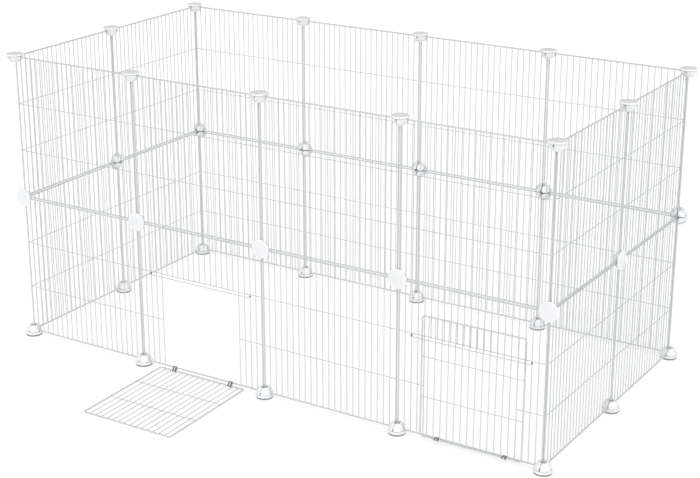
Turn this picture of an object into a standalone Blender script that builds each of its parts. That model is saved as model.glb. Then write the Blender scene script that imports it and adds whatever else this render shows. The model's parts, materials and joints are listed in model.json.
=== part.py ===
"""Modular wire pet playpen: two tiers of square grid panels on round push-in connectors.

Four bays long, two bays deep and two tiers high, with two doorways in the front wall, each closed
by a drop-down wire door on two hinge clips and a swinging latch bar.  Metres, +Z up, +X along the
long front wall, the front wall towards -Y.  The origin is at the bottom centre of the whole object,
with the left door lowered as a ramp and the right door shut.
"""

import math

import bmesh
import bpy
from mathutils import Matrix, Vector

# Layout
PITCH = 0.350  # distance from post to post, and from tier to tier
BAYS_LONG = 4
BAYS_DEEP = 2
DOORWAY_BAYS = {"left": 1, "right": 3}  # bays of the lower front wall, counted from 0

# Grid panels
ROD = 0.0035  # edge rod, across its flats
ROD_CHAMFER = 0.00105  # lets two edge rods pass each other at a corner post
ROD_SPACING = 0.0054  # between the edge rods of neighbouring panels
WIRE = 0.0015  # thin wire, square section with the area of the round one
WIRE_LAYER = 0.0009  # upright wires lie this far out of the panel's plane, cross wires this far in
PANEL = PITCH - ROD_SPACING  # from edge rod to edge rod
WIRE_GAPS = 22
CROSS_WIRES_AT = (1 / 3, 2 / 3)  # shares of the panel's height
WIRE_PITCH = PANEL / WIRE_GAPS

# Doorways
DOORWAY_WIRE = 4  # upright wire that edges the doorway, counted from each side
LATCH_WIRE = 2  # upright wire that holds the latch bar, counted from each side

# Connectors
DISC_THICK = 0.0045
DISC_SIDES = 16
JAW_HEIGHT = 0.0165
SHOULDER_HEIGHT = 0.0090  # the jaws taper faster above it
TIP_RADIUS = 0.0115
SINGLE_DISC = 0.0203
SINGLE = {"disc": SINGLE_DISC, "slot": 0.0042, "root": 0.0190, "shoulder": 0.0178}  # top and foot
DOUBLE = {"disc": 0.0222, "slot": 0.0096, "root": 0.0170, "shoulder": 0.0160}  # mid height
ROD_DEPTH = 0.008  # from the disc's outer face to the rods that lie behind it
PAD_THICK = 0.0050
SEAT = 0.001  # how far joined shapes run into each other
SADDLE_AT = (0.008, 0.016)  # from the post's middle: joins a top connector to its panel's rod

# Doors
DOOR_WIDTH = 0.2415  # between centre lines, as the next one
DOOR_LENGTH = 0.277
DOOR_CORNER = 0.006
DOOR_CORNER_SEGMENTS = 3
DOOR_WIRE_GAPS = 15
DOOR_WIRE_PITCH = DOOR_WIDTH / DOOR_WIRE_GAPS
SHUT_LEAN = math.radians(0.7)  # the shut door leans on the wall
FLOOR_GAP = 0.0003
CLIP_LENGTH = 0.012
CLIP_AT = 5 * DOOR_WIRE_PITCH  # from the door's middle, between two of its wires
CLIP_SPAN = 0.008  # between the two rods that it holds
CLIP_BORE = 0.0028
CLIP_WALL = 0.0009
CLIP_END_POINTS = 5  # round each end of its oval section
CLIP_DROOP = {"left": math.radians(55.5), "right": math.radians(-7.0)}  # of the door's rod
DOOR_SHIFT = {"left": 0.0, "right": 0.008}  # along the wall, from the middle of the doorway

# Latch bars
BORE_SIDES = 8  # of the bores in hinge clips and latch eyes
LATCH_BAR = 0.0022
LATCH_OUT = 0.0088  # bar in front of the wire that it turns on
LATCH_DROP = 0.0032  # below the upper cross wire
LATCH_SPAN = (WIRE_GAPS - 2 * LATCH_WIRE) * WIRE_PITCH
EYE_RADIUS = 0.0030
EYE_POINTS = 9
EYE_BORE = 0.00157
FORK_HALF_WIDTH = 0.0024
FORK_SLOT = 0.0012
FORK_LENGTH = 0.0062
FORK_TIP = 0.0012

# Places that follow from the sizes above
BOTTOM_ROD_Z = PAD_THICK + ROD_DEPTH
MID_Z = BOTTOM_ROD_Z + PITCH - ROD_SPACING / 2
TOP_Z = BOTTOM_ROD_Z + 2 * PITCH - ROD_SPACING + ROD_DEPTH
HALF_LENGTH = BAYS_LONG * PITCH / 2
HINGE_OUT = {side: CLIP_SPAN * math.cos(droop) for side, droop in CLIP_DROOP.items()}
HINGE_Z = {side: BOTTOM_ROD_Z - CLIP_SPAN * math.sin(droop) for side, droop in CLIP_DROOP.items()}
RAMP_SLOPE = math.asin((HINGE_Z["left"] - ROD / 2 - FLOOR_GAP) / DOOR_LENGTH)
RAMP_REACH = HINGE_OUT["left"] + (DOOR_LENGTH + ROD / 2) * math.cos(RAMP_SLOPE)
FRONT_Y = (RAMP_REACH - SINGLE_DISC - BAYS_DEEP * PITCH) / 2
BACK_Y = FRONT_Y + BAYS_DEEP * PITCH


# Materials

def principled(name, color, roughness, metallic=0.0):
    material = bpy.data.materials.new(name)
    material.use_nodes = True
    shader = material.node_tree.nodes["Principled BSDF"]
    shader.inputs["Base Color"].default_value = (*color, 1.0)
    shader.inputs["Roughness"].default_value = roughness
    shader.inputs["Metallic"].default_value = metallic
    material.diffuse_color = (*color, 1.0)
    return material


# Mesh helpers

def mesh_of(bm, name):
    """Closes the bmesh into a mesh whose faces point out."""
    bmesh.ops.recalc_face_normals(bm, faces=bm.faces)
    mesh = bpy.data.meshes.new(name)
    bm.to_mesh(mesh)
    bm.free()
    return mesh


def add_box(bm, low, high):
    low, high = Vector(low), Vector(high)
    size = Matrix.Diagonal((*(high - low), 1.0))
    bmesh.ops.create_cube(bm, size=1.0, matrix=Matrix.Translation((low + high) / 2) @ size)


def add_loft(bm, outlines):
    """A closed solid through outlines that have the same number of points."""
    rings = [[bm.verts.new(point) for point in outline] for outline in outlines]
    count = len(rings[0])
    bm.faces.new(rings[0])
    bm.faces.new(rings[-1])
    for lower, upper in zip(rings, rings[1:]):
        for k in range(count):
            n = (k + 1) % count
            bm.faces.new((lower[k], lower[n], upper[n], upper[k]))


def combined(name, first, second, operation="UNION"):
    """The mesh that an exact Boolean makes of two meshes."""
    holder = bpy.data.objects.new(name + "_first", first)
    tool = bpy.data.objects.new(name + "_second", second)
    for obj in (holder, tool):
        bpy.context.collection.objects.link(obj)
    boolean = holder.modifiers.new("join", "BOOLEAN")
    boolean.operation = operation
    boolean.solver = "EXACT"
    boolean.object = tool
    graph = bpy.context.evaluated_depsgraph_get()
    result = bpy.data.meshes.new_from_object(holder.evaluated_get(graph))
    result.name = name
    bpy.data.objects.remove(holder)
    bpy.data.objects.remove(tool)
    return result


def circle(radius, sides, centre=(0.0, 0.0), start=0.0, turn=2 * math.pi, closed=True):
    """Points round a circle, or along an arc of it whose two ends both count."""
    steps = sides if closed else sides - 1
    angles = [start + turn * k / steps for k in range(sides)]
    return [(centre[0] + radius * math.cos(a), centre[1] + radius * math.sin(a)) for a in angles]


# Wire grids: frame of edge rods plus thin wires, in the local X-Z plane, outside towards -Y

def frame_outline(half_x, half_z, radius, segments):
    """A rectangle in X-Z, with round corners where segments isn't 0."""
    corners = [(1, 1, 0.0), (-1, 1, 0.5), (-1, -1, 1.0), (1, -1, 1.5)]
    if not segments:
        return [(sx * half_x, sz * half_z) for sx, sz, _ in corners]
    points = []
    for sx, sz, start in corners:
        centre = (sx * (half_x - radius), sz * (half_z - radius))
        points += circle(radius, segments + 1, centre, start * math.pi, math.pi / 2, closed=False)
    return points


def add_rod_frame(bm, width, height, radius=0.0, segments=0):
    """A ring of edge rod whose section is square on the inside and chamfered on the outside."""
    half, cut = ROD / 2, ROD / 2 - ROD_CHAMFER
    section = [(half, -cut), (half, cut), (cut, half), (-half, half), (-half, -half), (cut, -half)]
    rings = []
    for out, y in section:
        outline = frame_outline(width / 2 + out, height / 2 + out, radius + out, segments)
        rings.append([bm.verts.new((x, y, z)) for x, z in outline])
    count = len(rings[0])
    for k, ring in enumerate(rings):
        following = rings[(k + 1) % len(rings)]
        for n in range(count):
            m = (n + 1) % count
            bm.faces.new((ring[n], ring[m], following[m], following[n]))


def add_upright(bm, x, low, high):
    y = -WIRE_LAYER
    add_box(bm, (x - WIRE / 2, y - WIRE / 2, low), (x + WIRE / 2, y + WIRE / 2, high))


def add_cross(bm, z, left, right):
    y = WIRE_LAYER
    add_box(bm, (left, y - WIRE / 2, z - WIRE / 2), (right, y + WIRE / 2, z + WIRE / 2))


def grid_mesh(name, width, height, gaps, corner=0.0, segments=0):
    """A plain grid: a full set of upright wires and the cross wires behind them."""
    frame, wires = bmesh.new(), bmesh.new()
    add_rod_frame(frame, width, height, corner, segments)
    for k in range(1, gaps):
        add_upright(wires, (k / gaps - 0.5) * width, -height / 2, height / 2)
    for share in CROSS_WIRES_AT:
        add_cross(wires, (share - 0.5) * height, -width / 2, width / 2)
    return combined(name, mesh_of(frame, name + "_frame"), mesh_of(wires, name + "_wires"))


def wire_x(number):
    """Place of a panel's upright wire, counted from its left edge rod."""
    return number * WIRE_PITCH - PANEL / 2


def doorway_panel_mesh(name):
    """A panel whose middle wires stop at the upper cross wire, which leaves the doorway open."""
    frame, wires = bmesh.new(), bmesh.new()
    add_rod_frame(frame, PANEL, PANEL)
    lower, upper = [(share - 0.5) * PANEL for share in CROSS_WIRES_AT]
    for k in range(1, WIRE_GAPS):
        edges_doorway = DOORWAY_WIRE < k < WIRE_GAPS - DOORWAY_WIRE
        low = upper - WIRE / 2 if edges_doorway else -PANEL / 2
        add_upright(wires, wire_x(k), low, PANEL / 2)
    add_cross(wires, upper, -PANEL / 2, PANEL / 2)
    stub = DOORWAY_WIRE * WIRE_PITCH + WIRE / 2
    add_cross(wires, lower, -PANEL / 2, -PANEL / 2 + stub)
    add_cross(wires, lower, PANEL / 2 - stub, PANEL / 2)
    return combined(name, mesh_of(frame, name + "_frame"), mesh_of(wires, name + "_wires"))


# Connectors: the disc's outer face at local Z = 0, the jaws towards +Z

def jaw_outline(slot, radius, quarter, z):
    """One jaw fills a quadrant of the hub, less half a slot on each side."""
    side = slot / 2
    reach = math.sqrt(radius * radius - side * side)
    diagonal = radius * math.sqrt(0.5)
    points = [(side, side), (reach, side), (diagonal, diagonal), (side, reach)]
    turn = Matrix.Rotation(quarter * math.pi / 2, 3, "Z")
    return [turn @ Vector((x, y, z)) for x, y in points]


def connector_mesh(name, disc, slot, root, shoulder, below=0.0):
    """A disc, thicker below by a foot pad, with four tapered jaws around crossed slots."""
    plate, jaws = bmesh.new(), bmesh.new()
    outline = circle(disc, DISC_SIDES)
    add_loft(plate, [[(x, y, z) for x, y in outline] for z in (-below, DISC_THICK)])
    levels = [
        (root, DISC_THICK - SEAT),
        (shoulder, DISC_THICK + SHOULDER_HEIGHT),
        (TIP_RADIUS, DISC_THICK + JAW_HEIGHT),
    ]
    for quarter in range(4):
        add_loft(jaws, [jaw_outline(slot, radius, quarter, z) for radius, z in levels])
    return combined(name, mesh_of(plate, name + "_plate"), mesh_of(jaws, name + "_jaws"))


def capped_panel_mesh(name, panel, connector):
    """A panel of the upper tier in one piece with the top connector on its right-hand post."""
    joined = bmesh.new()
    joined.from_mesh(connector)
    flip = Matrix.Rotation(math.pi, 4, "X")
    bmesh.ops.transform(joined, matrix=flip, verts=joined.verts)
    place = Vector((PITCH / 2, 0.0, PANEL / 2 + ROD_DEPTH))
    bmesh.ops.translate(joined, vec=place, verts=joined.verts)
    saddle = bmesh.new()
    reach = (SINGLE["slot"] + SEAT) / 2
    near, far = SADDLE_AT
    low = (PITCH / 2 - far, -reach, PANEL / 2)
    high = (PITCH / 2 - near, reach, PANEL / 2 + ROD_DEPTH - DISC_THICK + SEAT)
    add_box(saddle, low, high)
    cap = combined(name + "_cap", mesh_of(joined, name + "_top"), mesh_of(saddle, name + "_saddle"))
    return combined(name, panel, cap)


# Hinge clip: the panel's bottom rod runs through the origin along X, the door's rod towards -Y

def clip_mesh(name):
    """A strap of oval section, bored for the two rods that it holds together."""
    outer = CLIP_BORE + CLIP_WALL
    door_rod = (-CLIP_SPAN, 0.0)
    outline = circle(outer, CLIP_END_POINTS, (0.0, 0.0), -math.pi / 2, math.pi, closed=False)
    outline += circle(outer, CLIP_END_POINTS, door_rod, math.pi / 2, math.pi, closed=False)
    strap, bores = bmesh.new(), bmesh.new()
    half = CLIP_LENGTH / 2
    add_loft(strap, [[(x, y, z) for y, z in outline] for x in (-half, half)])
    bore_radius = CLIP_BORE / math.cos(math.pi / BORE_SIDES)
    for centre in ((0.0, 0.0), door_rod):
        ring = circle(bore_radius, BORE_SIDES, centre, math.pi / BORE_SIDES)
        add_loft(bores, [[(x, y, z) for y, z in ring] for x in (-CLIP_LENGTH, CLIP_LENGTH)])
    return combined(name, mesh_of(strap, name + "_strap"), mesh_of(bores, name + "_bores"), "DIFFERENCE")


# Latch bar: turns about local Z on an upright wire, and its fork snaps on the wire across the door

def latch_mesh(name):
    """A flat-lying bar with an eye at its left end and a fork at its right end."""
    half = LATCH_BAR / 2
    lean = math.asin(half / EYE_RADIUS)
    eye_turn = 2 * (math.pi - lean)
    eye = circle(EYE_RADIUS, EYE_POINTS, start=lean - math.pi / 2, turn=eye_turn, closed=False)
    right = LATCH_SPAN
    fork_root = FORK_TIP - FORK_LENGTH
    outline = eye + [
        (-half, -LATCH_OUT - half),
        (right + half, -LATCH_OUT - half),
        (right + half, fork_root),
        (right + FORK_HALF_WIDTH, fork_root),
        (right + FORK_HALF_WIDTH, FORK_TIP),
        (right + FORK_SLOT, FORK_TIP),
        (right + FORK_SLOT, -FORK_SLOT),
        (right - FORK_SLOT, -FORK_SLOT),
        (right - FORK_SLOT, FORK_TIP),
        (right - FORK_HALF_WIDTH, FORK_TIP),
        (right - FORK_HALF_WIDTH, fork_root),
        (right - half, fork_root),
        (right - half, -LATCH_OUT + half),
        (half, -LATCH_OUT + half),
    ]
    bar, bore = bmesh.new(), bmesh.new()
    add_loft(bar, [[(x, y, z) for x, y in outline] for z in (-half, half)])
    hole = circle(EYE_BORE, BORE_SIDES, start=math.pi / BORE_SIDES)
    add_loft(bore, [[(x, y, z) for x, y in hole] for z in (-LATCH_BAR, LATCH_BAR)])
    return combined(name, mesh_of(bar, name + "_bar"), mesh_of(bore, name + "_bore"), "DIFFERENCE")


# Placing

def place(name, mesh, material, location, turn=(0.0, 0.0, 0.0)):
    """An object of its own for one piece. Pieces of a kind share their mesh."""
    obj = bpy.data.objects.new(name, mesh)
    if not mesh.materials:
        mesh.materials.append(material)
    obj.location = location
    obj.rotation_euler = turn
    bpy.context.collection.objects.link(obj)
    return obj


def walls():
    """(wall name, bays, centre of a bay, heading) for each of the four walls.

    The heading turns a panel's outside from -Y to the wall's outside.  Each wall runs along the
    panel's own +X, so a capped panel's connector is on the post at the end of its bay.
    """
    along_front = [(n + 0.5) * PITCH - HALF_LENGTH for n in range(BAYS_LONG)]
    along_side = [(n + 0.5) * PITCH + FRONT_Y for n in range(BAYS_DEEP)]
    return [
        ("front", [(x, FRONT_Y) for x in along_front], 0.0),
        ("back", [(x, BACK_Y) for x in along_front], math.pi),
        ("left", [(-HALF_LENGTH, y) for y in along_side], -math.pi / 2),
        ("right", [(HALF_LENGTH, y) for y in along_side], math.pi / 2),
    ]


def ends_at_corner(wall, number, count):
    """Whether the post at the far end of a bay, along its panel's own +X, is a corner post."""
    runs_backwards = wall in ("back", "left")
    return number == 0 if runs_backwards else number == count - 1


def build_panels(steel):
    plain = grid_mesh("grid_panel", PANEL, PANEL, WIRE_GAPS)
    doorway = doorway_panel_mesh("doorway_panel")
    capped = capped_panel_mesh("capped_panel", plain, connector_mesh("cap", **SINGLE))
    for wall, bays, heading in walls():
        for number, (x, y) in enumerate(bays):
            for tier, tier_name in enumerate(("lower", "upper")):
                mesh = plain
                if tier == 0 and wall == "front" and number in DOORWAY_BAYS.values():
                    mesh = doorway
                elif tier == 1 and not ends_at_corner(wall, number, len(bays)):
                    mesh = capped
                z = BOTTOM_ROD_Z + PANEL / 2 + tier * PITCH
                name = f"panel_{wall}_{tier_name}_{number + 1}"
                place(name, mesh, steel, (x, y, z), (0.0, 0.0, heading))


def posts():
    """(name, x, y, outward heading) of every post; corner posts head to the front or the back."""
    found = []
    for row, y, heading in (("front", FRONT_Y, 0.0), ("back", BACK_Y, math.pi)):
        for n in range(BAYS_LONG + 1):
            found.append((f"{row}_{n + 1}", n * PITCH - HALF_LENGTH, y, heading))
    middle = (FRONT_Y + BACK_Y) / 2
    found.append(("left", -HALF_LENGTH, middle, -math.pi / 2))
    found.append(("right", HALF_LENGTH, middle, math.pi / 2))
    return found


def build_connectors(plastic):
    foot = connector_mesh("foot", below=PAD_THICK, **SINGLE)
    mid = connector_mesh("mid_connector", **DOUBLE)
    top = connector_mesh("top_connector", **SINGLE)
    upright = -math.pi / 2  # turns the jaws from up to inwards
    for name, x, y, heading in posts():
        place(f"foot_{name}", foot, plastic, (x, y, PAD_THICK))
        out = Matrix.Rotation(heading, 3, "Z") @ Vector((0.0, -ROD_DEPTH, 0.0))
        place(f"mid_connector_{name}", mid, plastic, (x + out.x, y + out.y, MID_Z), (upright, 0.0, heading))
        if name in ("front_1", f"front_{BAYS_LONG + 1}", "back_1", f"back_{BAYS_LONG + 1}"):
            place(f"top_connector_{name}", top, plastic, (x, y, TOP_Z), (math.pi, 0.0, 0.0))


def build_doorway(side, steel, clip_steel, meshes):
    """The door, its hinge clips and the latch bar of one doorway."""
    x = (DOORWAY_BAYS[side] + 0.5) * PITCH - HALF_LENGTH
    door_x = x + DOOR_SHIFT[side]
    door_mesh, clip, latch = meshes
    angle = math.pi / 2 + RAMP_SLOPE if side == "left" else -SHUT_LEAN
    hinge = bpy.data.objects.new(f"door_hinge_{side}", None)
    hinge.location = (door_x, FRONT_Y - HINGE_OUT[side], HINGE_Z[side])
    hinge.rotation_euler = (angle, 0.0, 0.0)
    bpy.context.collection.objects.link(hinge)
    door = place(f"door_{side}", door_mesh, steel, (0.0, 0.0, DOOR_LENGTH / 2))
    door.parent = hinge
    droop = (CLIP_DROOP[side], 0.0, 0.0)
    for letter, sign in (("a", -1), ("b", 1)):
        at = (door_x + sign * CLIP_AT, FRONT_Y, BOTTOM_ROD_Z)
        place(f"hinge_clip_{side}_{letter}", clip, clip_steel, at, droop)
    cross = BOTTOM_ROD_Z + CROSS_WIRES_AT[1] * PANEL
    pivot = (x + wire_x(LATCH_WIRE), FRONT_Y - WIRE_LAYER, cross - LATCH_DROP)
    place(f"latch_{side}", latch, steel, pivot)


def clear_scene():
    for obj in list(bpy.data.objects):
        bpy.data.objects.remove(obj)


def build():
    clear_scene()
    steel = principled("white_coated_steel", (0.86, 0.87, 0.88), 0.35)
    plastic = principled("white_plastic", (0.90, 0.90, 0.91), 0.30)
    clip_steel = principled("dark_steel", (0.16, 0.17, 0.18), 0.40, 0.9)
    build_panels(steel)
    build_connectors(plastic)
    door_corner = (DOOR_CORNER, DOOR_CORNER_SEGMENTS)
    door = grid_mesh("wire_door", DOOR_WIDTH, DOOR_LENGTH, DOOR_WIRE_GAPS, *door_corner)
    meshes = (door, clip_mesh("hinge_clip"), latch_mesh("latch_bar"))
    for side in DOORWAY_BAYS:
        build_doorway(side, steel, clip_steel, meshes)
    bpy.context.view_layer.update()


build()
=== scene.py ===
"""Looks of the modular wire pet playpen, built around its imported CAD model.

Every grid panel, connector, foot pad, door, hinge clip and latch bar is one piece, made of round
rods, turned discs and lofted jaws, and stands in the place that its CAD node gives it.  Metres, +Z
up, the long front wall along +X and facing -Y.
"""

import json
import math
import random

import bmesh
import bpy
from mathutils import Matrix, Vector


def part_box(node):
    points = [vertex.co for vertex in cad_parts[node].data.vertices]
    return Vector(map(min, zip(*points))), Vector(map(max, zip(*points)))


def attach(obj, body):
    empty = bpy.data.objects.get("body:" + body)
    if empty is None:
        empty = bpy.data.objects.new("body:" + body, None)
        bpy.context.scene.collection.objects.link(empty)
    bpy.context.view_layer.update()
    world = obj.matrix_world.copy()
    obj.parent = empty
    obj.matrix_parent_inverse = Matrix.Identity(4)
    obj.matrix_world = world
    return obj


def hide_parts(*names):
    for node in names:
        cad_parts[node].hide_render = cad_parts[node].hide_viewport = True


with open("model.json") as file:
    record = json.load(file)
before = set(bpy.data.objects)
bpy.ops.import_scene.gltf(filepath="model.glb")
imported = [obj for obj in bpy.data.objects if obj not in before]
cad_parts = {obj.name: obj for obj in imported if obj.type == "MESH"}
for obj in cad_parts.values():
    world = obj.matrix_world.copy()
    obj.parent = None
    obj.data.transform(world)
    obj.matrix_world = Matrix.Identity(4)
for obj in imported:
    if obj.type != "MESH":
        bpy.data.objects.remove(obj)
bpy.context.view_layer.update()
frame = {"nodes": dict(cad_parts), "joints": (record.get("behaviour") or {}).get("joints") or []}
NODES = frame["nodes"]
JOINTS = {joint["name"]: joint for joint in frame["joints"]}

X, Y, Z = Vector((1, 0, 0)), Vector((0, 1, 0)), Vector((0, 0, 1))

# Grid panels and doors
ROUND_WIRE = 0.0020  # diameter of the thin uprights
CROSS_WIRE = 0.0017  # diameter of the cross wires
WIRE_LAYER = 0.00075  # uprights lie this far outside the panel's plane, cross wires inside
CROSS_WIRES_AT = (1 / 3, 2 / 3)  # shares of the height
PANEL_CORNER = 0.006  # bend of the edge rod, on its centre line
DOOR_CORNER = 0.006
PANEL_GAPS = 22
DOOR_GAPS = 15
DOORWAY_WIRE = 4  # upright that edges the doorway, counted from each side
LATCH_WIRE = 2  # upright that carries the latch bar
STRAY = 0.00010  # how far a thin wire strays from its true place
ROD_SIDES = 16
WIRE_SIDES = 10
UPRIGHT_STEPS = 6
BEND_STEPS = 8  # of a quarter turn of the edge rod
ROD_BEAD = (0.62, 0.60, 0.85)  # radii of the weld on the edge rod, in wire diameters
ROD_BEAD_AT = 0.42  # in rod diameters from the rod's centre line
CROSSING_BEAD = 0.56  # radius of the weld at a crossing, in cross wire diameters
BEAD_SEGMENTS = (8, 6)

# Connectors
DISC_CROWN = 0.0007  # the disc's face is this much higher in its middle
DISC_EDGE = 0.0013
RIM_UNDER = 0.0006
DISC_THICK = 0.0045
DISC_SEGMENTS = 72
CROWN_RINGS = 6
RIM_STEPS = 6
EDGE_STEPS = 4  # of the small roundings
TIP_RADIUS = 0.0115  # of the jaws at their tips
JAW_BULGE = 2.1  # power of the curve from the jaws' root to their tips
UNDERCUT = 0.0016  # depth of the groove between the disc and the jaws, then its height
UNDERCUT_HEIGHT = 0.0010
NECK_SHARE = 0.7  # of the groove's height, before it widens to the jaws
JAW_EDGE = 0.0009
JAW_LEVELS = 12
JAW_ARC_STEPS = 8
SLOT_FLARE = 0.0008
FLARE_HEIGHT = 0.0030
LIP_FROM = 0.0056  # height over the disc from which lips narrow the slots and hold the rods in
LIP_RISE = 0.0010
SINGLE = {"slot": 0.0037, "root": 0.0190, "hollow": 0.0036, "lip": 0.0011, "lip_hollow": 0.0062}
DOUBLE = {"slot": 0.0091, "root": 0.0170, "hollow": 0.0078, "lip": 0.0027, "lip_hollow": 0.0052}

# Foot pads
RUBBER_THICK = 0.0032
PAD_INSET = 0.0007  # pad's edge inside the disc's edge
PAD_BEVEL = 0.0010
PAD_GROOVE = 0.0006
PAD_HOLLOW = 0.0008  # depth of the hollow underneath, then the shares of the radius where it ends
PAD_HOLLOW_END = (0.60, 0.64)
PAD_BEVEL_SHARE = 0.3

# Hinge clips and latch bars
STRAP_THICK = 0.0009
STRAP_BORE = 0.0021
STRAP_PINCH = 0.0007
STRAP_EDGE = 0.22  # bevel, in band thicknesses
STRAP_GAP = (0.44, 0.56)  # shares of the span where the band's two ends lie
STRAP_STEPS = 10
LATCH_ROD = 0.0021
LATCH_BEND = 0.0030
SLEEVE_BORE = 0.0010
SLEEVE_RADIUS = 0.0021
SLEEVE_HEIGHT = 0.0032
SLEEVE_STEPS = 28
SLEEVE_OPENING = 12.0  # degrees: the seam of a rolled sleeve
KEEPER_OPENING = 95.0  # the keeper snaps on its wire
LATCH_BITE = 0.8  # share of the sleeve's radius that the bar's ends reach into it
BAR_STEPS = 6
BAR_SIDES = 12
TONE_AND_HIGHLIGHT_LENGTH = 0.009  # of a clip, over which its colour changes: dark ends and a painted highlight across the middle
# painted highlight: a clip runs dark, then light in the middle, then dark again along its length
CLIP_PAINTED_HIGHLIGHT_TONES = [(0.10, (0.08, 0.09, 0.10)), (0.50, (0.82, 0.83, 0.84)), (0.92, (0.14, 0.15, 0.16))]
SLEEVE_TONES = [(0.0, (0.10, 0.11, 0.12)), (1.0, (0.16, 0.17, 0.18))]
CLIP_SHARE = 0.80  # visible clip's length over its CAD stand-in's

# Materials
NOISE_MIDDLE = (0.3, 0.7)  # a noise's usual range, over which roughnesses and tones change
OBJECT_SPREAD = (7.0, 5.0, 3.0)  # moves the noises from piece to piece
COAT_TONES = ((0.510, 0.528, 0.533), (0.566, 0.580, 0.585))
COAT_RUBBED = (0.44, 0.45, 0.45)
COAT_RUBBED_FROM = (0.69, 0.76)  # noise levels where a rubbed spot starts and is whole
COAT_ROUGHNESS = (0.30, 0.42)
PLASTIC_TONES = ((0.770, 0.776, 0.792), (0.815, 0.819, 0.833))
PLASTIC_ROUGHNESS = (0.27, 0.38)
PLASTIC_GLOW_DEPTH = 0.006  # light that enters the white plastic comes out this near
# grey rubber, made darker to paint the contact shadow where the pad meets the floor
RUBBER_AND_CONTACT_SHADE_TONES = ((0.240, 0.252, 0.258), (0.310, 0.322, 0.328))
RUBBER_ROUGHNESS = (0.62, 0.80)
SPRING_PATCHES = [(0.38, (0.55, 0.55, 0.55)), (0.72, (1.0, 1.0, 1.0))]
SPRING_ROUGHNESS = (0.22, 0.42)
SPRING_DRAWN = (0.05, 1.0, 1.0)  # stretches the grain along X

# Camera and studio
CAMERA_FROM_PEN = (1.9480, -2.7567, 1.5738)  # from the middle of the front wall's foot
CAMERA_AZIMUTH = 31.933
CAMERA_ELEVATION = 19.471
CAMERA_LENS = 83.31
FLOOR_SIZE = 60.0
WORLD_LIGHT = 0.36
KEY = {"azimuth": 0.0, "elevation": 52.0, "strength": 1.80, "softness": 75.0}
SIDE = {"azimuth": 78.0, "elevation": 22.0, "strength": 1.40, "softness": 90.0}
FLOOR_TONE = 0.45
FLOOR_GLOW = 0.61


# Places that the CAD model gives

def centre(node):
    low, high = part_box(node)
    return (low + high) / 2


def size(node):
    low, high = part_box(node)
    return high - low


ROD = size("panel_front_lower_1").y
PANEL = size("panel_front_lower_1").x - ROD
TIER = centre("panel_left_upper_1").z - centre("panel_left_lower_1").z
TOP_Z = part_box("top_connector_front_1")[1].z
FOOT_HEIGHT = size("foot_front_1").z
CONNECTOR_HEIGHT = size("top_connector_front_1").z
PAD_THICK = FOOT_HEIGHT - CONNECTOR_HEIGHT
SINGLE_DISC = size("foot_front_1").x / 2
DOUBLE_DISC = size("mid_connector_front_1").x / 2
DOOR_WIDTH = size("door_left").x - ROD
WIRE_PITCH = PANEL / PANEL_GAPS
HEADINGS = {"front": 0.0, "back": math.pi, "left": -math.pi / 2, "right": math.pi / 2}
DOOR_BAYS = {"left": 2, "right": 4}


def bays(wall):
    """Numbers of the bays in one wall, found from the names of its lower panels."""
    start = f"panel_{wall}_lower_"
    return sorted(int(name[len(start):]) for name in NODES if name.startswith(start))


def panel_place(wall, tier, number):
    """Middle of a panel's plane; an upper panel stands one tier above the lower one."""
    middle = centre(f"panel_{wall}_lower_{number}")
    return middle + Z * (TIER if tier == "upper" else 0.0)


def post_names():
    return sorted(name[len("foot_"):] for name in NODES if name.startswith("foot_"))


def post_heading(post):
    return HEADINGS[post.split("_")[0]]


# Mesh helpers

def finished(bm, name, crease=35.0):
    """Turns the bmesh into a mesh that is smooth except over its sharp edges."""
    bmesh.ops.recalc_face_normals(bm, faces=bm.faces)
    mesh = bpy.data.meshes.new(name)
    bm.to_mesh(mesh)
    bm.free()
    mesh.shade_smooth()
    mesh.set_sharp_from_angle(angle=math.radians(crease))
    return mesh


def piece(name, mesh, material, matrix, body, replaced):
    """One visible piece, in its place, on its body and in place of its CAD nodes."""
    obj = bpy.data.objects.new(name, mesh)
    if not mesh.materials:
        mesh.materials.append(material)
    bpy.context.collection.objects.link(obj)
    obj.matrix_world = matrix
    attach(obj, body)
    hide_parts(*replaced)
    return obj


def bridge(bm, rings, closed):
    """Quads between rings of vertices, and caps on the two end rings unless they close up."""
    pairs = list(zip(rings, rings[1:]))
    if closed:
        pairs.append((rings[-1], rings[0]))
    count = len(rings[0])
    for lower, upper in pairs:
        for k in range(count):
            n = (k + 1) % count
            bm.faces.new((lower[k], lower[n], upper[n], upper[k]))
    if not closed:
        bm.faces.new(rings[0])
        bm.faces.new(rings[-1])


def tube(bm, points, radius, sides, normal, closed=False):
    """A round rod along a path that lies in a plane with this normal."""
    count = len(points)
    rings = []
    for k, point in enumerate(points):
        before = points[k - 1] if closed or k else point
        after = points[(k + 1) % count] if closed or k < count - 1 else point
        across = (after - before).normalized().cross(normal)
        ring = []
        for n in range(sides):
            angle = 2 * math.pi * n / sides
            outwards = math.cos(angle) * normal + math.sin(angle) * across
            ring.append(bm.verts.new(point + radius * outwards))
        rings.append(ring)
    bridge(bm, rings, closed)


def turned(bm, profile, segments):
    """A body turned about Z from (radius, height) points; the first and last lie on the axis."""
    angles = [2 * math.pi * k / segments for k in range(segments)]
    middle = []
    for radius, height in profile[1:-1]:
        points = [(radius * math.cos(angle), radius * math.sin(angle), height) for angle in angles]
        middle.append([bm.verts.new(point) for point in points])
    for lower, upper in zip(middle, middle[1:]):
        for k in range(segments):
            n = (k + 1) % segments
            bm.faces.new((lower[k], lower[n], upper[n], upper[k]))
    for (_, height), ring in ((profile[0], middle[0]), (profile[-1], middle[-1])):
        tip = bm.verts.new((0.0, 0.0, height))
        for k in range(segments):
            bm.faces.new((tip, ring[k], ring[(k + 1) % segments]))


def arc(radius, start, turn, steps, centre_at=(0.0, 0.0)):
    """Points along an arc, both ends included, in degrees."""
    angles = [math.radians(start + turn * k / steps) for k in range(steps + 1)]
    x, y = centre_at
    return [(x + radius * math.cos(a), y + radius * math.sin(a)) for a in angles]


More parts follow.
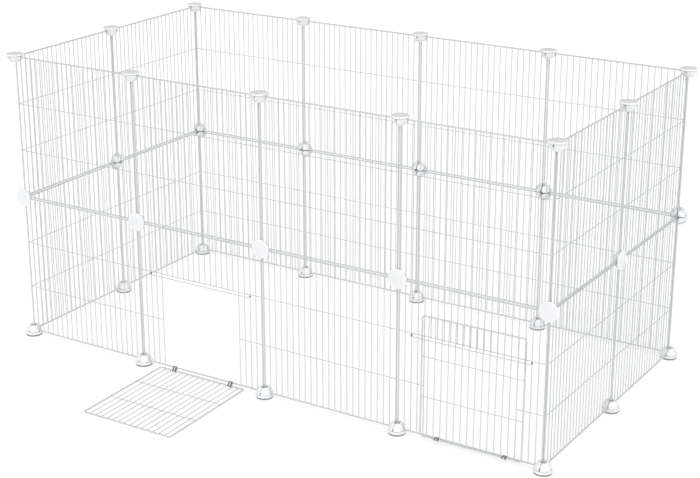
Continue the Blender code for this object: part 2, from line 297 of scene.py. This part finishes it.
def nugget(bm, at, radii):
    """A small weld bead, as a flattened ball."""
    matrix = Matrix.Translation(at) @ Matrix.Diagonal((*radii, 1.0))
    around, upwards = BEAD_SEGMENTS
    bmesh.ops.create_uvsphere(bm, u_segments=around, v_segments=upwards, radius=1.0, matrix=matrix)


# Wire grids, in the local X-Z plane with the outside towards -Y

def rod_frame(bm, width, height, corner):
    """The edge rod: a rectangle with four bent corners."""
    points = []
    for sx, sz, start in ((1, 1, 0), (-1, 1, 90), (-1, -1, 180), (1, -1, 270)):
        middle = (sx * (width / 2 - corner), sz * (height / 2 - corner))
        points += [Vector((x, 0.0, z)) for x, z in arc(corner, start, 90, BEND_STEPS, middle)]
    tube(bm, points, ROD / 2, ROD_SIDES, Y, closed=True)


def upright(bm, rng, x, low, high):
    """A thin upright wire, drawn a little out of true between its welds."""
    bow = rng.uniform(-STRAY, STRAY)
    lean = rng.uniform(-STRAY, STRAY)
    points = []
    for k in range(UPRIGHT_STEPS + 1):
        t = k / UPRIGHT_STEPS
        stray = bow * math.sin(math.pi * t) + lean * (t - 0.5)
        points.append(Vector((x + stray, -WIRE_LAYER, low + (high - low) * t)))
    tube(bm, points, ROUND_WIRE / 2, WIRE_SIDES, Y)


def cross_wire(bm, z, left, right):
    points = [Vector((x, WIRE_LAYER, z)) for x in (left, (left + right) / 2, right)]
    tube(bm, points, CROSS_WIRE / 2, WIRE_SIDES, Y)


def rod_weld(bm, x, z, upwards):
    """Where a thin wire meets the edge rod: a bead on the rod's inner side."""
    inwards = -1 if upwards else 1
    bead = Vector((x, -WIRE_LAYER, z + inwards * ROD * ROD_BEAD_AT))
    nugget(bm, bead, [ROUND_WIRE * share for share in ROD_BEAD])


def crossing_weld(bm, x, z):
    reach = CROSS_WIRE * CROSSING_BEAD
    nugget(bm, Vector((x, 0.0, z)), (reach, reach, reach))


def grid_mesh(name, width, height, gaps, corner, doorway=False):
    """Edge rod, upright wires and two cross wires; a doorway leaves out the wires in its way."""
    bm = bmesh.new()
    rng = random.Random(name)
    rod_frame(bm, width, height, corner)
    pitch = width / gaps
    levels = [(share - 0.5) * height for share in CROSS_WIRES_AT]
    for k in range(1, gaps):
        x = k * pitch - width / 2
        short = doorway and DOORWAY_WIRE < k < gaps - DOORWAY_WIRE
        low = levels[1] - ROUND_WIRE / 2 if short else -height / 2
        upright(bm, rng, x, low, height / 2)
        rod_weld(bm, x, height / 2, True)
        crossing_weld(bm, x, levels[1])
        if not short:
            rod_weld(bm, x, -height / 2, False)
            crossing_weld(bm, x, levels[0])
    cross_wire(bm, levels[1], -width / 2, width / 2)
    if doorway:
        reach = DOORWAY_WIRE * pitch + ROUND_WIRE / 2
        cross_wire(bm, levels[0], -width / 2, reach - width / 2)
        cross_wire(bm, levels[0], width / 2 - reach, width / 2)
    else:
        cross_wire(bm, levels[0], -width / 2, width / 2)
    return finished(bm, name)


# Connectors: the disc's outer face at local Z = 0, the jaws towards +Z

def disc_profile(disc, below):
    """Crowned outer face, round rim and flat underside, from the axis to the axis."""
    rim = disc - DISC_EDGE
    face = []
    for k in range(CROWN_RINGS + 1):
        radius = rim * k / CROWN_RINGS
        face.append((radius, DISC_CROWN * (radius / rim) ** 2 - below))
    edge_at = (rim, DISC_CROWN + DISC_EDGE - below)
    edge = arc(DISC_EDGE, -90, 90, RIM_STEPS, edge_at)[1:]
    under_at = (disc - RIM_UNDER, DISC_THICK - RIM_UNDER)
    under = arc(RIM_UNDER, 0, 90, EDGE_STEPS, under_at)
    return face + edge + under + [(0.0, DISC_THICK)]


def jaw_outline(slot, radius, hollow):
    """One quadrant of the hub between two slots, hollow in the middle, with round outer corners."""
    side = slot / 2
    reach = math.sqrt((radius - JAW_EDGE) ** 2 - (side + JAW_EDGE) ** 2)
    corner = math.degrees(math.atan2(side + JAW_EDGE, reach))
    first = arc(JAW_EDGE, -90, 90 + corner, EDGE_STEPS, (reach, side + JAW_EDGE))
    last = [(y, x) for x, y in reversed(first)]
    outer = arc(radius, corner, 90 - 2 * corner, JAW_ARC_STEPS)[1:-1]
    start = math.degrees(math.acos(side / hollow))
    inner = arc(hollow, start, 90 - 2 * start, EDGE_STEPS)
    return first + outer + last + inner


def jaw_levels(root, height):
    """(height, outer radius, flare of the slots) of each ring of a jaw, root to tip."""
    neck = root - UNDERCUT
    found = [(-RIM_UNDER, neck, 0.0), (UNDERCUT_HEIGHT * NECK_SHARE, neck, 0.0)]
    for k in range(JAW_LEVELS + 1):
        t = k / JAW_LEVELS
        radius = root - (root - TIP_RADIUS) * t ** JAW_BULGE
        flare = max(0.0, t * height - (height - FLARE_HEIGHT)) / FLARE_HEIGHT * SLOT_FLARE
        found.append((UNDERCUT_HEIGHT + t * (height - JAW_EDGE - UNDERCUT_HEIGHT), radius, flare))
    for k in range(1, EDGE_STEPS + 1):
        a = math.pi / 2 * k / EDGE_STEPS
        inset = JAW_EDGE * (1 - math.cos(a))
        up = height - JAW_EDGE * (1 - math.sin(a))
        found.append((up, TIP_RADIUS - inset, SLOT_FLARE + inset))
    return found


def connector_mesh(name, disc, slot, root, hollow, lip, lip_hollow, below=0.0):
    """A disc with four tapered jaws that grip the rods lying in their crossed slots."""
    bm = bmesh.new()
    turned(bm, disc_profile(disc, below), DISC_SEGMENTS)
    height = CONNECTOR_HEIGHT - DISC_THICK
    for quarter in range(4):
        turn = Matrix.Rotation(quarter * math.pi / 2, 4, "Z")
        rings = []
        for up, radius, flare in jaw_levels(root, height):
            closed = min(1.0, max(0.0, (up - LIP_FROM) / LIP_RISE))
            inside = hollow + (lip_hollow - hollow) * closed
            outline = jaw_outline(slot + 2 * (flare - lip * closed), radius, inside + flare)
            rings.append([bm.verts.new(turn @ Vector((x, y, DISC_THICK + up))) for x, y in outline])
        bridge(bm, rings, closed=False)
    return finished(bm, name, crease=40.0)


def pad_mesh(name):
    """A rubber pad with a groove round its side and a shallow ring under it."""
    edge = SINGLE_DISC - PAD_INSET
    inner, outer = PAD_HOLLOW_END
    profile = [
        (0.0, PAD_HOLLOW),
        (edge * inner, PAD_HOLLOW),
        (edge * outer, 0.0),
        (edge - PAD_BEVEL, 0.0),
        (edge - PAD_BEVEL * PAD_BEVEL_SHARE, PAD_BEVEL * PAD_BEVEL_SHARE),
        (edge, PAD_BEVEL),
        (edge, RUBBER_THICK - PAD_GROOVE),
        (edge - PAD_GROOVE, RUBBER_THICK - PAD_GROOVE / 2),
        (edge - PAD_GROOVE, RUBBER_THICK),
        (0.0, RUBBER_THICK),
    ]
    bm = bmesh.new()
    turned(bm, profile, DISC_SEGMENTS)
    return finished(bm, name, crease=30.0)


# Hinge clips and latch bars

def strap(bm, path, thickness, low, high, to_space):
    """A flat band along a plane path; to_space puts a point of the plane at a place across it."""
    outer, inner = [], []
    for k, point in enumerate(path):
        before = path[max(k - 1, 0)]
        after = path[min(k + 1, len(path) - 1)]
        along = (after - before).normalized()
        across = Vector((-along.y, along.x)) * thickness / 2
        outer.append(point + across)
        inner.append(point - across)
    outline = outer + inner[::-1]
    edge = thickness * STRAP_EDGE
    rings = []
    for at, inset in ((low, edge), (low + edge, 0.0), (high - edge, 0.0), (high, edge)):
        ring = []
        for k, point in enumerate(outline):
            mate = outline[len(outline) - 1 - k]
            moved = point.lerp(mate, inset / thickness)
            ring.append(bm.verts.new(to_space(moved, at)))
        rings.append(ring)
    bridge(bm, rings, closed=False)


def clip_path(offset):
    """A crimped band round two rods, pinched between them, with its ends nearly meeting."""
    span = offset.length
    radius = STRAP_BORE + STRAP_THICK / 2
    half = [Vector(p) for p in arc(radius, 90, 180, STRAP_STEPS)]
    far = [Vector(p) for p in arc(radius, -90, 180, STRAP_STEPS, (span, 0.0))]
    waist = radius - STRAP_PINCH
    lower = Vector((span / 2, -waist))
    upper_left, upper_right = [Vector((span * share, waist)) for share in STRAP_GAP]
    path = [upper_left, *half, lower, *far, upper_right]
    turn = Matrix.Rotation(math.atan2(offset.y, offset.x), 2)
    return [turn @ point for point in path]


def clip_mesh(name, offset, length):
    bm = bmesh.new()
    path = clip_path(offset)
    strap(bm, path, STRAP_THICK, -length / 2, length / 2, lambda p, x: Vector((x, p.x, p.y)))
    return finished(bm, name, crease=30.0)


def latch_bar_mesh(name, span, out):
    """A round bar that leaves the sleeve, turns along the wall and turns back to the keeper."""
    near = -SLEEVE_RADIUS * LATCH_BITE
    left = arc(LATCH_BEND, 180, 90, BAR_STEPS, (LATCH_BEND, LATCH_BEND - out))
    right = arc(LATCH_BEND, 270, 90, BAR_STEPS, (span - LATCH_BEND, LATCH_BEND - out))
    points = [Vector((x, y, 0.0)) for x, y in [(0.0, near), *left, *right, (span, near)]]
    bm = bmesh.new()
    tube(bm, points, LATCH_ROD / 2, BAR_SIDES, Z)
    return finished(bm, name)


def sleeve_mesh(name, opening):
    """A rolled sleeve round an upright wire; an opening in degrees makes it a snap-on keeper."""
    radius = (SLEEVE_BORE + SLEEVE_RADIUS) / 2
    thickness = SLEEVE_RADIUS - SLEEVE_BORE
    path = [Vector(p) for p in arc(radius, 90 + opening / 2, 360 - opening, SLEEVE_STEPS)]
    bm = bmesh.new()
    half = SLEEVE_HEIGHT / 2
    strap(bm, path, thickness, -half, half, lambda p, z: Vector((p.x, p.y, z)))
    return finished(bm, name, crease=30.0)


# Materials

class Graph:
    """A material's nodes, with short calls to add and join them."""

    def __init__(self, name):
        self.material = bpy.data.materials.new(name)
        self.material.use_nodes = True
        self.tree = self.material.node_tree
        self.shader = self.tree.nodes["Principled BSDF"]

    def add(self, kind, **values):
        node = self.tree.nodes.new(kind)
        for key, value in values.items():
            if key in node.inputs:
                node.inputs[key].default_value = value
            else:
                setattr(node, key, value)
        return node

    def join(self, source, target):
        self.tree.links.new(source, target)

    def place(self):
        """Coordinates that stay with the piece and differ from piece to piece."""
        coordinates = self.add("ShaderNodeTexCoord")
        info = self.add("ShaderNodeObjectInfo")
        spread = self.add("ShaderNodeVectorMath", operation="MULTIPLY_ADD")
        self.join(info.outputs["Random"], spread.inputs[0])
        spread.inputs[1].default_value = OBJECT_SPREAD
        self.join(coordinates.outputs["Object"], spread.inputs[2])
        return spread.outputs["Vector"]

    def noise(self, vector, scale, detail=2.0, roughness=0.5):
        node = self.add("ShaderNodeTexNoise", Scale=scale, Detail=detail, Roughness=roughness)
        self.join(vector, node.inputs["Vector"])
        return node.outputs["Fac"]

    def ramp(self, factor, stops):
        node = self.add("ShaderNodeValToRGB")
        elements = node.color_ramp.elements
        for k, (position, color) in enumerate(stops):
            element = elements[k] if k < 2 else elements.new(position)
            element.position = position
            element.color = (*color, 1.0)
        self.join(factor, node.inputs["Fac"])
        return node.outputs["Color"]

    def tones(self, noise, dark, light):
        """A colour that follows a noise from dark to light."""
        return self.ramp(noise, list(zip(NOISE_MIDDLE, (dark, light))))

    def between(self, noise, low, high):
        """A value that follows a noise from low to high."""
        return self.map_range(noise, NOISE_MIDDLE, (low, high))

    def map_range(self, value, source, target=(0.0, 1.0)):
        node = self.add("ShaderNodeMapRange")
        node.inputs["From Min"].default_value, node.inputs["From Max"].default_value = source
        node.inputs["To Min"].default_value, node.inputs["To Max"].default_value = target
        self.join(value, node.inputs["Value"])
        return node.outputs["Result"]

    def bump(self, height, strength, distance, normal=None):
        node = self.add("ShaderNodeBump", Strength=strength, Distance=distance)
        self.join(height, node.inputs["Height"])
        if normal is not None:
            self.join(normal, node.inputs["Normal"])
        return node.outputs["Normal"]

    def finish(self, color, roughness, normal, **sockets):
        """Joins the three inputs and sets the others, whose names have _ for a space."""
        self.join(color, self.shader.inputs["Base Color"])
        self.join(roughness, self.shader.inputs["Roughness"])
        self.join(normal, self.shader.inputs["Normal"])
        for key, value in sockets.items():
            self.shader.inputs[key.replace("_", " ")].default_value = value
        return self.material


def coated_steel():
    """White powder coat: fine orange peel, broad tone changes and a few rubbed spots."""
    g = Graph("white_powder_coat")
    at = g.place()
    tone = g.noise(at, scale=9.0, detail=3.0)
    rubbed = g.noise(at, scale=160.0, detail=4.0, roughness=0.7)
    plain = g.tones(tone, *COAT_TONES)
    wear_and_highlight = g.ramp(rubbed, list(zip(COAT_RUBBED_FROM, ((0.0, 0.0, 0.0), (1.0, 1.0, 1.0)))))
    mix = g.add("ShaderNodeMix", data_type="RGBA", blend_type="MIX")
    g.join(wear_and_highlight, mix.inputs["Factor"])
    g.join(plain, mix.inputs["A"])
    mix.inputs["B"].default_value = (*COAT_RUBBED, 1.0)
    peel = g.noise(at, scale=1500.0, detail=2.0)
    runs = g.noise(at, scale=260.0, detail=1.0)
    normal = g.bump(runs, strength=0.35, distance=0.00012)
    normal = g.bump(peel, strength=0.25, distance=0.00005, normal=normal)
    roughness = g.between(tone, *COAT_ROUGHNESS)
    return g.finish(mix.outputs["Result"], roughness, normal, Coat_Weight=0.15)


def moulded_plastic():
    """White ABS: a faint cloudiness from the melt's flow over a very fine moulded texture."""
    g = Graph("white_moulded_plastic")
    at = g.place()
    flow = g.noise(at, scale=55.0, detail=4.0, roughness=0.6)
    grain = g.noise(at, scale=3200.0, detail=2.0)
    sink = g.noise(at, scale=120.0, detail=1.0)
    normal = g.bump(sink, strength=0.25, distance=0.00020)
    normal = g.bump(grain, strength=0.20, distance=0.00004, normal=normal)
    return g.finish(
        g.tones(flow, *PLASTIC_TONES),
        g.between(flow, *PLASTIC_ROUGHNESS),
        normal,
        Subsurface_Weight=0.70,
        Subsurface_Radius=(1.0, 1.0, 1.0),
        Subsurface_Scale=PLASTIC_GLOW_DEPTH,
    )


def pad_rubber():
    """Grey rubber: matt, mottled and slightly pitted, its grey darkened to paint the contact shadow
    at the floor too.
    """
    g = Graph("pad_rubber_and_painted_contact_shade")
    at = g.place()
    mottle = g.noise(at, scale=90.0, detail=5.0, roughness=0.65)
    pits = g.noise(at, scale=1800.0, detail=3.0, roughness=0.6)
    normal = g.bump(pits, strength=0.6, distance=0.00010)
    # the pad's own grey and its painted contact shadow in one colour
    color = g.tones(mottle, *RUBBER_AND_CONTACT_SHADE_TONES)
    return g.finish(color, g.between(mottle, *RUBBER_ROUGHNESS), normal)


def dark_steel(name, tones):
    """Blackened spring steel: drawn grain, rubbed patches, and tones that change along X; on a clip
    these paint a highlight across its middle.
    """
    g = Graph(name)
    at = g.place()
    stretch = g.add("ShaderNodeVectorMath", operation="MULTIPLY")
    stretch.inputs[1].default_value = SPRING_DRAWN
    g.join(at, stretch.inputs[0])
    grain = g.noise(stretch.outputs["Vector"], scale=2400.0, detail=3.0, roughness=0.6)
    wear = g.noise(at, scale=420.0, detail=4.0, roughness=0.6)
    patches = g.ramp(wear, SPRING_PATCHES)
    split = g.add("ShaderNodeSeparateXYZ")
    coordinates = g.add("ShaderNodeTexCoord")
    g.join(coordinates.outputs["Object"], split.inputs["Vector"])
    # tones along X: on a clip a painted highlight between dark ends, on a sleeve a slow change of
    # tone
    along = g.map_range(split.outputs["X"], (-TONE_AND_HIGHLIGHT_LENGTH / 2, TONE_AND_HIGHLIGHT_LENGTH / 2))
    wear_and_highlight = g.ramp(along, tones)
    mix = g.add("ShaderNodeMix", data_type="RGBA", blend_type="MULTIPLY")
    mix.inputs["Factor"].default_value = 1.0
    g.join(wear_and_highlight, mix.inputs["A"])
    g.join(patches, mix.inputs["B"])
    normal = g.bump(grain, strength=0.35, distance=0.00004)
    roughness = g.between(wear, *SPRING_ROUGHNESS)
    return g.finish(mix.outputs["Result"], roughness, normal, Metallic=0.6)


# Building

def standing(at, heading=0.0):
    return Matrix.Translation(at) @ Matrix.Rotation(heading, 4, "Z")


def build_panels(steel):
    plain = grid_mesh("grid_panel", PANEL, PANEL, PANEL_GAPS, PANEL_CORNER)
    doorway = grid_mesh("doorway_panel", PANEL, PANEL, PANEL_GAPS, PANEL_CORNER, doorway=True)
    for wall, heading in HEADINGS.items():
        for number in bays(wall):
            for tier in ("lower", "upper"):
                open_bay = wall == "front" and tier == "lower" and number in DOOR_BAYS.values()
                mesh = doorway if open_bay else plain
                matrix = standing(panel_place(wall, tier, number), heading)
                node = f"panel_{wall}_{tier}_{number}"
                name = f"grid_{wall}_{tier}_{number}"
                piece(name, mesh, steel, matrix, "pen", [node])


def cap_of(post):
    """The CAD node that holds a post's top connector: its own, or the panel that it is joined to."""
    own = f"top_connector_{post}"
    if own in NODES:
        return own
    foot = centre(f"foot_{post}")
    for name in NODES:
        if "_upper_" not in name:
            continue
        low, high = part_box(name)
        beside = low.x < foot.x < high.x and low.y < foot.y < high.y
        if high.z > TOP_Z - ROD and beside:
            return name
    raise ValueError(f"no CAD node caps post {post}")


def build_connectors(plastic, rubber):
    single = connector_mesh("single_slot_connector", SINGLE_DISC, **SINGLE)
    double = connector_mesh("double_slot_connector", DOUBLE_DISC, **DOUBLE)
    footed = connector_mesh("foot_connector", SINGLE_DISC, below=PAD_THICK - RUBBER_THICK, **SINGLE)
    pad = pad_mesh("foot_pad")
    flip = Matrix.Rotation(math.pi, 4, "X")
    inwards = Matrix.Rotation(-math.pi / 2, 4, "X")
    for post in post_names():
        foot = centre(f"foot_{post}").xy
        node = f"foot_{post}"
        up = Matrix.Translation((*foot, PAD_THICK))
        piece(f"bottom_connector_{post}", footed, plastic, up, "pen", [node])
        ground = Matrix.Translation((*foot, 0.0))
        piece(f"foot_pad_{post}", pad, rubber, ground, "pen", [node])
        down = Matrix.Translation((*foot, TOP_Z)) @ flip
        piece(f"cap_{post}", single, plastic, down, "pen", [cap_of(post)])
        node = f"mid_connector_{post}"
        heading = post_heading(post)
        outwards = Matrix.Rotation(heading, 3, "Z") @ -Y
        face = centre(node) + outwards * CONNECTOR_HEIGHT / 2
        side = standing(face, heading) @ inwards
        piece(f"side_connector_{post}", double, plastic, side, "pen", [node])


def hinge_place(side):
    return Vector(JOINTS[f"door_{side}_hinge"]["pos_m"])


def door_tilt(side):
    """Angle of a door from upright, about +X, as its CAD box shows it at rest."""
    hinge = hinge_place(side)
    low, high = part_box(f"door_{side}")
    if high.z - low.z < high.y - low.y:
        drop = hinge.z - low.z - ROD / 2
        reach = hinge.y - low.y - ROD / 2
        return math.pi / 2 + math.atan2(drop, reach)
    reach = high.z - hinge.z - ROD / 2
    return -math.atan2(high.y - hinge.y - ROD / 2, reach)


def build_doorway(side, steel, clip_steel, sleeve_steel):
    hinge = hinge_place(side)
    body = f"door_{side}"
    left_hinge = hinge_place("left")
    door_length = left_hinge.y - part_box("door_left")[0].y - ROD / 2
    mesh = grid_mesh(f"wire_door_{side}", DOOR_WIDTH, door_length, DOOR_GAPS, DOOR_CORNER)
    tilt = Matrix.Rotation(door_tilt(side), 4, "X")
    door = Matrix.Translation(hinge) @ tilt @ Matrix.Translation(Z * door_length / 2)
    piece(f"wire_door_{side}", mesh, steel, door, body, [f"door_{side}"])

    rod = centre(f"panel_front_lower_{DOOR_BAYS[side]}") - Z * PANEL / 2
    offset = Vector((hinge.y - rod.y, hinge.z - rod.z))
    length = CLIP_SHARE * size(f"hinge_clip_{side}_a").x
    clip = clip_mesh(f"crimped_clip_{side}", offset, length)
    for letter in ("a", "b"):
        node = f"hinge_clip_{side}_{letter}"
        at = Matrix.Translation((centre(node).x, rod.y, rod.z))
        piece(f"crimped_clip_{side}_{letter}", clip, clip_steel, at, "pen", [node])

    node = f"latch_{side}"
    pivot = Vector(JOINTS[f"latch_{side}_pivot"]["pos_m"])
    span = (PANEL_GAPS - 2 * LATCH_WIRE) * WIRE_PITCH
    out = pivot.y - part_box(node)[0].y - LATCH_ROD / 2
    at = Matrix.Translation(pivot)
    bar = latch_bar_mesh(f"gate_bar_{side}", span, out)
    piece(f"gate_bar_{side}", bar, steel, at, node, [node])
    sleeve = sleeve_mesh(f"gate_bar_sleeve_{side}", SLEEVE_OPENING)
    piece(f"gate_bar_sleeve_{side}", sleeve, sleeve_steel, at, node, [node])
    keeper = sleeve_mesh(f"gate_bar_keeper_{side}", KEEPER_OPENING)
    at = Matrix.Translation(pivot + X * span)
    piece(f"gate_bar_keeper_{side}", keeper, sleeve_steel, at, node, [node])


# Studio

def direction_to(azimuth, elevation):
    """Unit vector towards a place round the object; azimuth 0 is in front, 90 on the right."""
    a, e = math.radians(azimuth), math.radians(elevation)
    return Vector((math.sin(a) * math.cos(e), -math.cos(a) * math.cos(e), math.sin(e)))


def add_floor():
    half = FLOOR_SIZE / 2
    bm = bmesh.new()
    corners = ((-half, -half), (half, -half), (half, half), (-half, half))
    bm.faces.new([bm.verts.new((x, y, 0.0)) for x, y in corners])
    mesh = bpy.data.meshes.new("floor")
    bm.to_mesh(mesh)
    bm.free()
    g = Graph("pale_floor")
    g.shader.inputs["Base Color"].default_value = (FLOOR_TONE, FLOOR_TONE, FLOOR_TONE, 1.0)
    g.shader.inputs["Roughness"].default_value = 0.9
    g.shader.inputs["Specular IOR Level"].default_value = 0.1
    g.shader.inputs["Emission Color"].default_value = (1.0, 1.0, 1.0, 1.0)
    g.shader.inputs["Emission Strength"].default_value = FLOOR_GLOW
    mesh.materials.append(g.material)
    floor = bpy.data.objects.new("floor", mesh)
    bpy.context.collection.objects.link(floor)


def add_sun(name, azimuth, elevation, strength, softness):
    light = bpy.data.lights.new(name, "SUN")
    light.energy = strength
    light.angle = math.radians(softness)
    sun = bpy.data.objects.new(name, light)
    sun.rotation_mode = "QUATERNION"
    sun.rotation_quaternion = (-direction_to(azimuth, elevation)).to_track_quat("-Z", "Y")
    bpy.context.collection.objects.link(sun)


def add_world():
    world = bpy.data.worlds.new("studio")
    world.use_nodes = True
    background = world.node_tree.nodes["Background"]
    background.inputs["Color"].default_value = (1.0, 1.0, 1.0, 1.0)
    background.inputs["Strength"].default_value = WORLD_LIGHT
    bpy.context.scene.world = world


def add_camera():
    camera = bpy.data.objects.new("camera", bpy.data.cameras.new("camera"))
    camera.data.lens = CAMERA_LENS
    camera.data.clip_end = 200.0
    camera.location = Vector(CAMERA_FROM_PEN) + Y * centre("panel_front_lower_1").y
    camera.rotation_mode = "QUATERNION"
    towards = -direction_to(CAMERA_AZIMUTH, CAMERA_ELEVATION)
    camera.rotation_quaternion = towards.to_track_quat("-Z", "Y")
    bpy.context.collection.objects.link(camera)
    bpy.context.scene.camera = camera


def build():
    steel = coated_steel()
    plastic = moulded_plastic()
    rubber = pad_rubber()
    clip_steel = dark_steel("spring_steel_painted_highlight", CLIP_PAINTED_HIGHLIGHT_TONES)
    sleeve_steel = dark_steel("dark_spring_steel", SLEEVE_TONES)
    build_panels(steel)
    build_connectors(plastic, rubber)
    for side in DOOR_BAYS:
        build_doorway(side, steel, clip_steel, sleeve_steel)
    add_floor()
    add_sun("key", **KEY)
    add_sun("side", **SIDE)
    add_world()
    add_camera()
    bpy.context.scene.view_settings.view_transform = "Standard"
    bpy.context.view_layer.update()


build()
